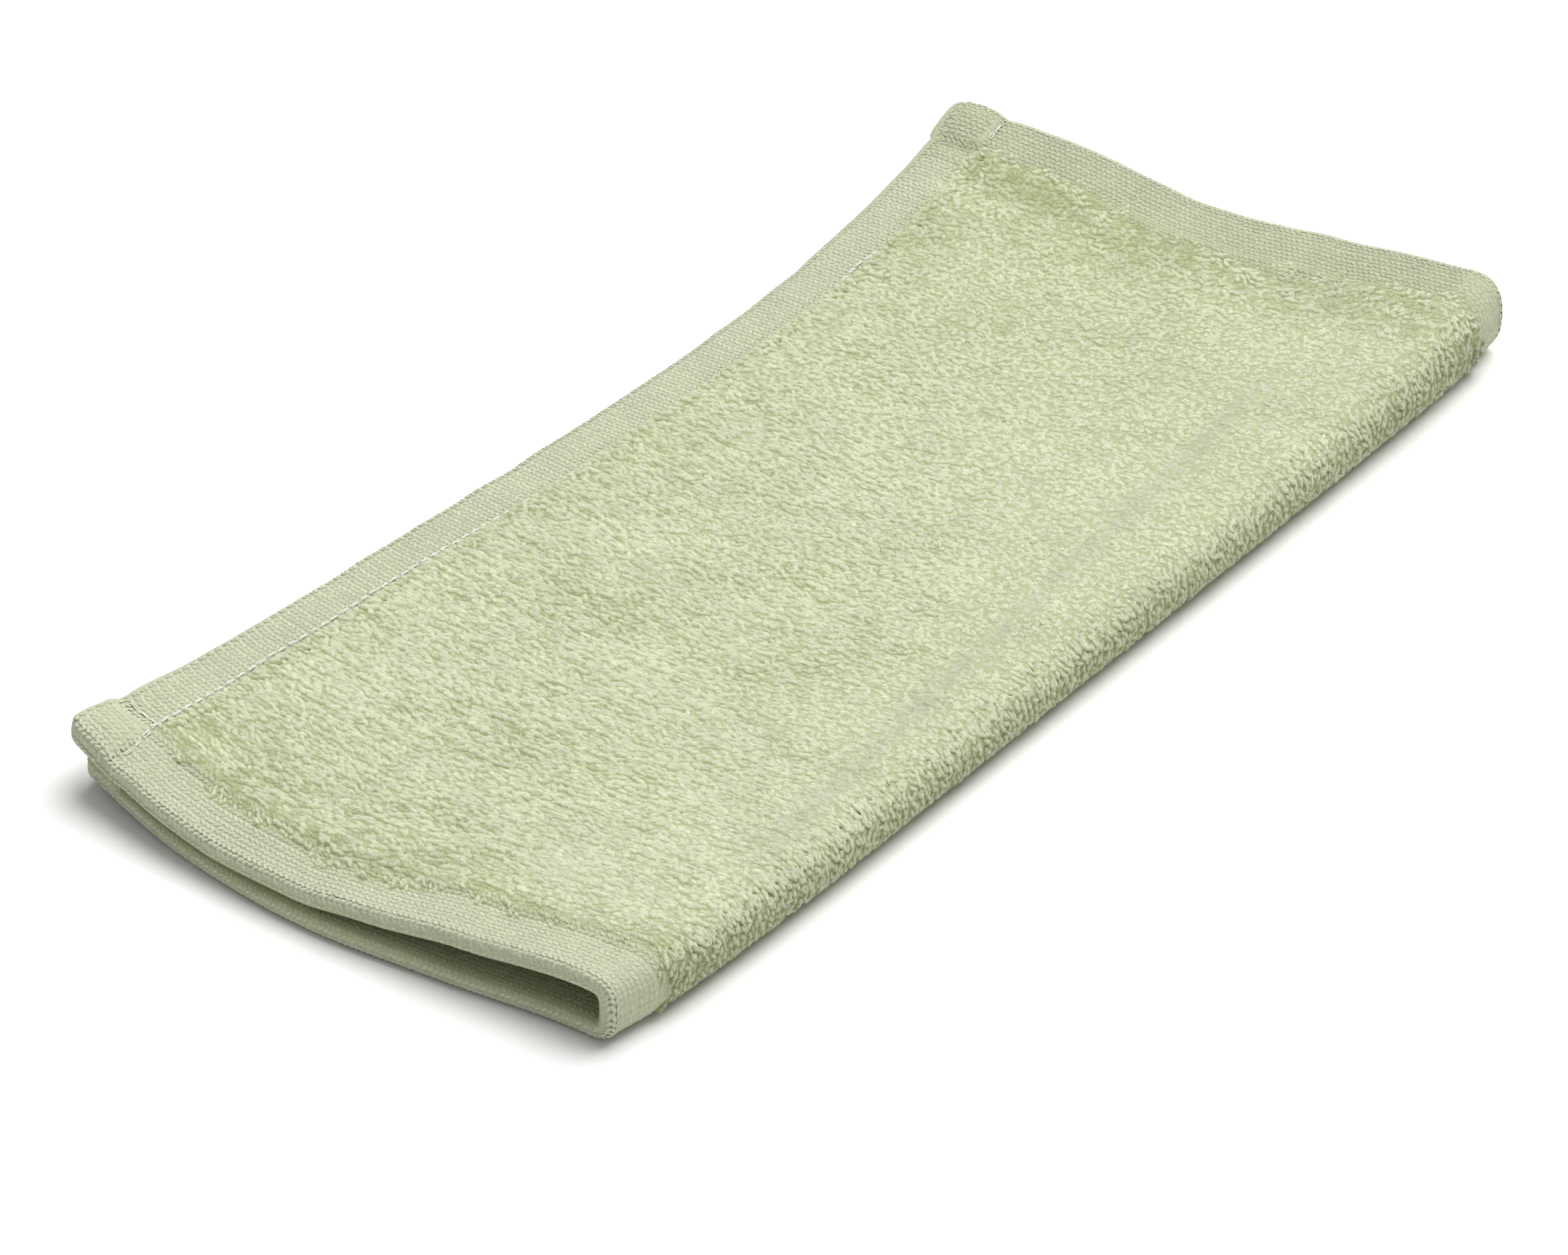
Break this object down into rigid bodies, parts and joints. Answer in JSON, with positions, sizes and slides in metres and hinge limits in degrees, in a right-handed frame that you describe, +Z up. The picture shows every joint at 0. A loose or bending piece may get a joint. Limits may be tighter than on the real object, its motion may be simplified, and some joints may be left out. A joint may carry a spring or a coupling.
{
  "type": "folded terry hand towel",
  "caption": "Small knitted terry hand towel with hems all round, folded once along its length and lying flat: a round fold on one side, free hemmed edges on the other.",
  "frame": {"origin": "middle of the footprint, on the surface that the towel lies on", "axes": "+X across the folded width, from the free hemmed edges to the fold; +Y along the length of the towel; +Z up"},
  "size_m": [0.1454, 0.3122, 0.018],
  "materials": {
    "terry": "pale green cotton terry with flat knitted hems"
  },
  "bodies": {
    "root": {"folded_towel": "terry"}
  },
  "joints": []
}
